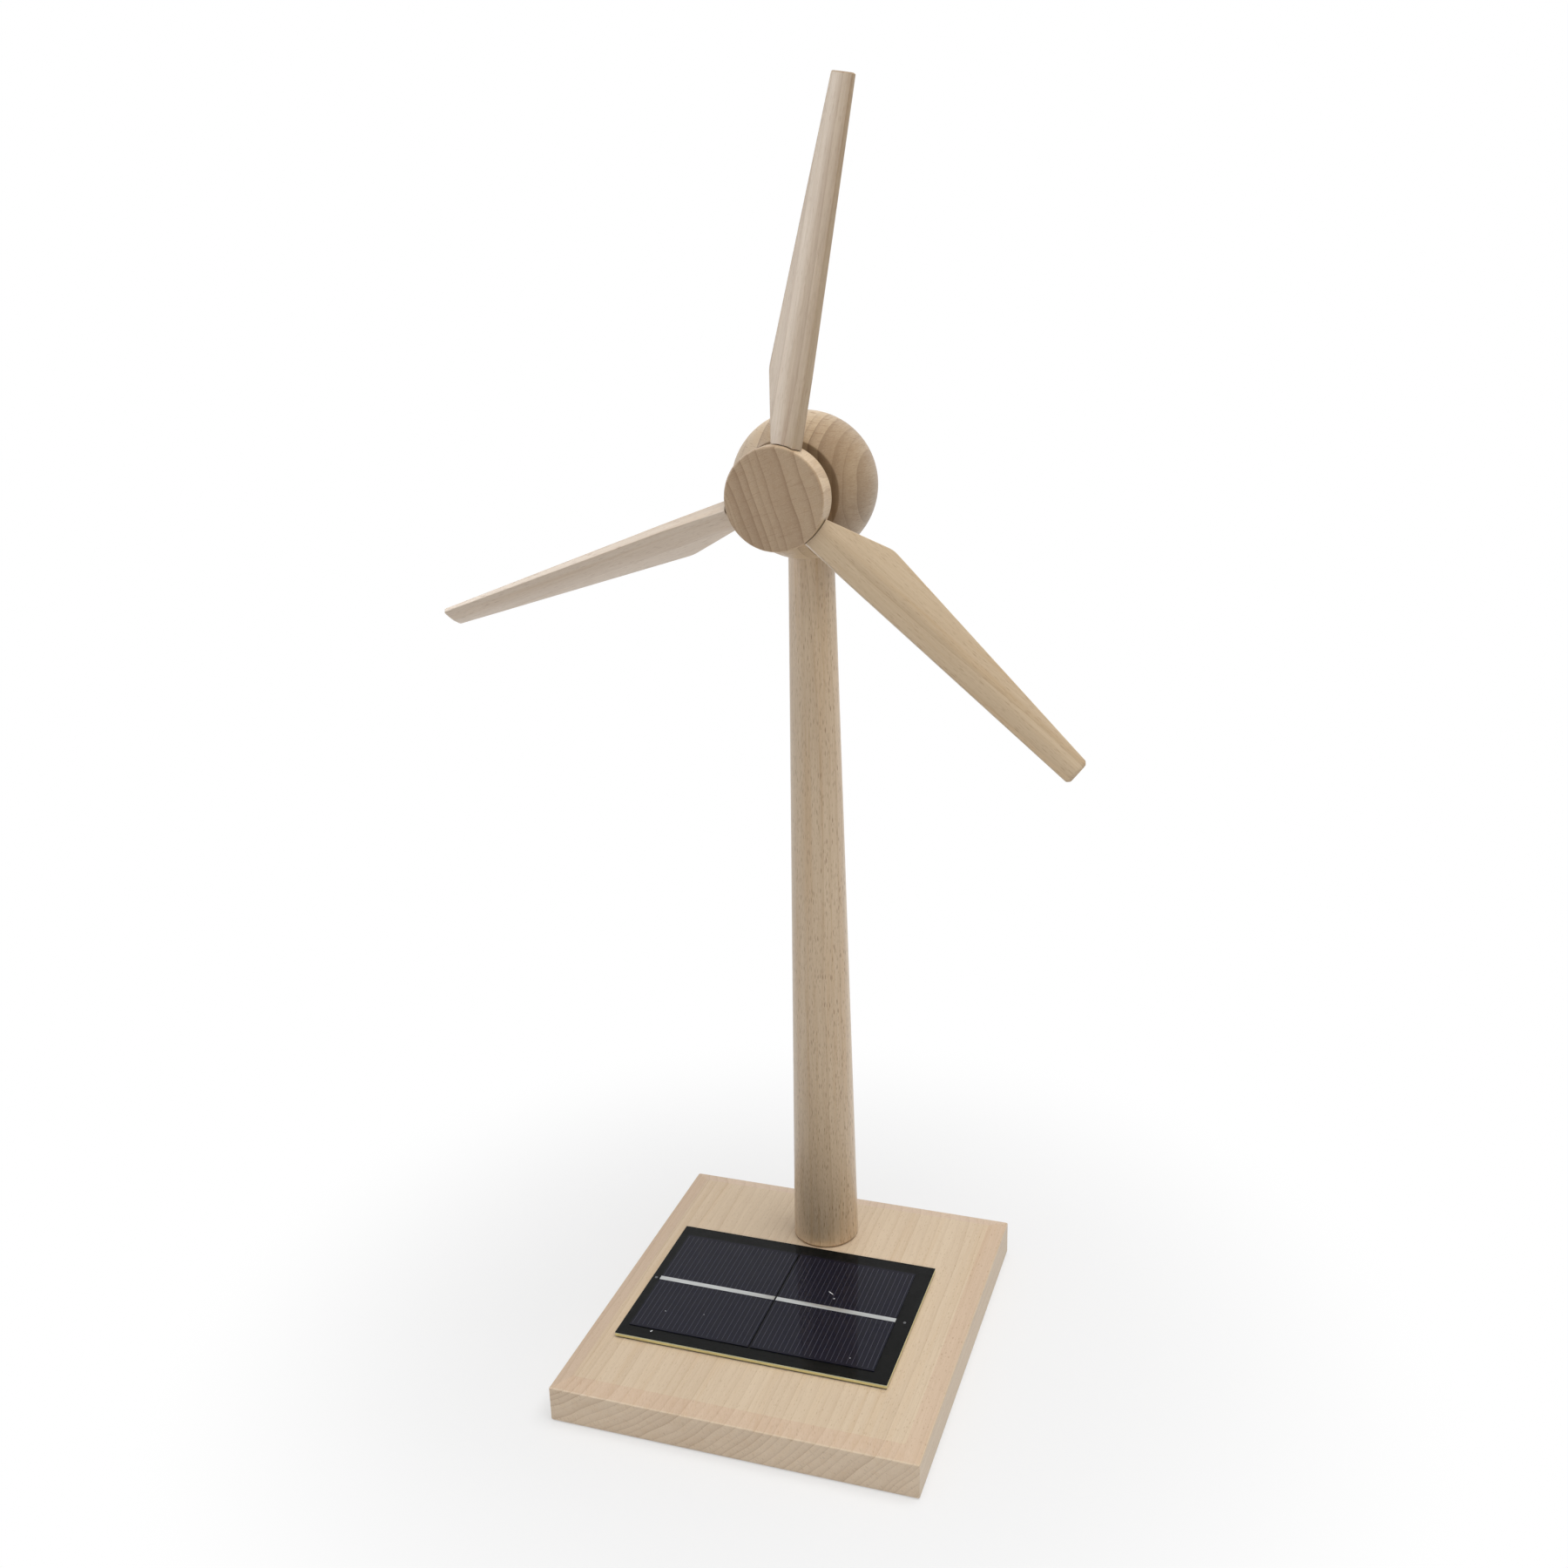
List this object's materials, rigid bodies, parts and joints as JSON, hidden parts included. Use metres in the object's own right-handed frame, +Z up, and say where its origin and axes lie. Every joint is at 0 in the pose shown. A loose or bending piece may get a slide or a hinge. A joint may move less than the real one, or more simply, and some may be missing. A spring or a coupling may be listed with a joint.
{
  "type": "small wind turbine",
  "caption": "Desk-top solar turbine in beech: a rotor with pitched blades on a motor in a ball-shaped nacelle, on a tapered tower over a bevelled board with a small solar panel.",
  "frame": {"origin": "centre of the board's underside, which rests on the table", "axes": "+Z up along the tower, -Y towards the rotor and the front of the board, +X to the right seen from the front"},
  "size_m": [0.2042, 0.13, 0.3959],
  "materials": {
    "beech_board": "sanded beech, thin matt oil",
    "beech_tower": "turned beech, sanded",
    "beech_ball": "turned beech, sanded",
    "beech_hub": "turned beech, sanded across the face",
    "beech_blade": "planed and sanded beech",
    "beech_pin": "plain dowel and slip, unfinished",
    "steel": "drawn, bright",
    "magnet": "ground ferrite",
    "bronze": "sintered, oiled",
    "copper": "bright copper",
    "cap_plastic": "moulded, matt",
    "foam": "black foam tape",
    "laminate": "sawn glass-epoxy, green skin on top",
    "clear_coat": "clear cast resin over a black mask",
    "silicon": "dark blue silicon with thin silver fingers",
    "tin": "tinned copper and solder",
    "lead_red": "soft insulation",
    "lead_black": "soft insulation"
  },
  "bodies": {
    "stand": {"base_board": "beech_board", "groove_cover": "beech_pin", "tower": "beech_tower", "panel_tape": "foam", "panel_board": "laminate", "panel_coat": "clear_coat", "cell_left": "silicon", "cell_right": "silicon", "ribbon_left": "tin", "ribbon_right": "tin", "solder_left": "tin", "solder_right": "tin", "pad_negative": "tin", "pad_positive": "tin", "lead_black": "lead_black", "lead_red": "lead_red", "nacelle_ball": "beech_ball", "motor_can": "steel", "motor_end_cap": "cap_plastic", "bearing_front": "bronze", "bearing_rear": "bronze", "magnet_left": "magnet", "magnet_right": "magnet", "brush_left": "copper", "brush_right": "copper"},
    "rotor": {"motor_shaft": "steel", "armature_core": "steel", "winding_1": "copper", "winding_2": "copper", "winding_3": "copper", "commutator": "copper", "hub_bush": "bronze", "hub_disc": "beech_hub", "blade_1": "beech_blade", "dowel_1": "beech_pin", "blade_2": "beech_blade", "dowel_2": "beech_pin", "blade_3": "beech_blade", "dowel_3": "beech_pin"}
  },
  "joints": [
    {"name": "rotor_spin", "type": "hinge", "parent": "stand", "child": "rotor", "pos_m": [-0.001, 0.0347, 0.2815], "axis": [0, -1, 0], "continuous": true}
  ]
}
